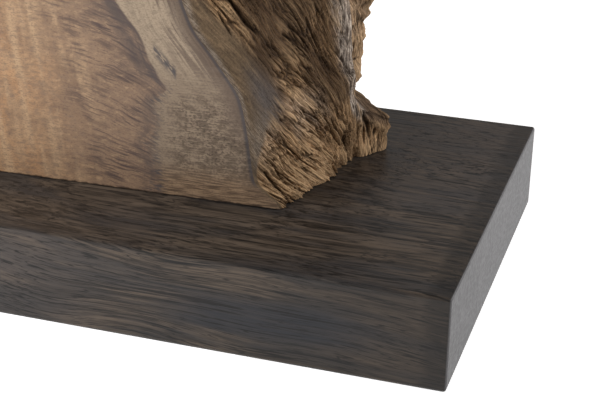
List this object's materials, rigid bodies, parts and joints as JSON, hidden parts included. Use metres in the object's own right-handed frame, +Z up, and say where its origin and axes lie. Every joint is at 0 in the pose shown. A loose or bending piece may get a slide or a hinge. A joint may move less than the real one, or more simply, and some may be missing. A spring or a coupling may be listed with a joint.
{
  "type": "bog oak sculpture on a board",
  "caption": "Weathered piece of bog oak with a sawn front, ridged natural sides and a splintered top, screwed upright on a dark oak board.",
  "frame": {"origin": "centre of the board's underside", "axes": "+Z up, +X along the board's length, +Y from the sawn front to the back"},
  "size_m": [0.36, 0.185, 0.3909],
  "materials": {
    "bog_oak": "sanded and matt on the sawn front, rough and weathered elsewhere",
    "board": "dark stained oak, planed, satin",
    "screw": "zinc plated"
  },
  "bodies": {
    "root": {"bog_oak": "bog_oak", "base_board": "board", "fixing_screw_left": "screw", "fixing_screw_right": "screw", "fixing_screw_front": "screw"}
  },
  "joints": []
}
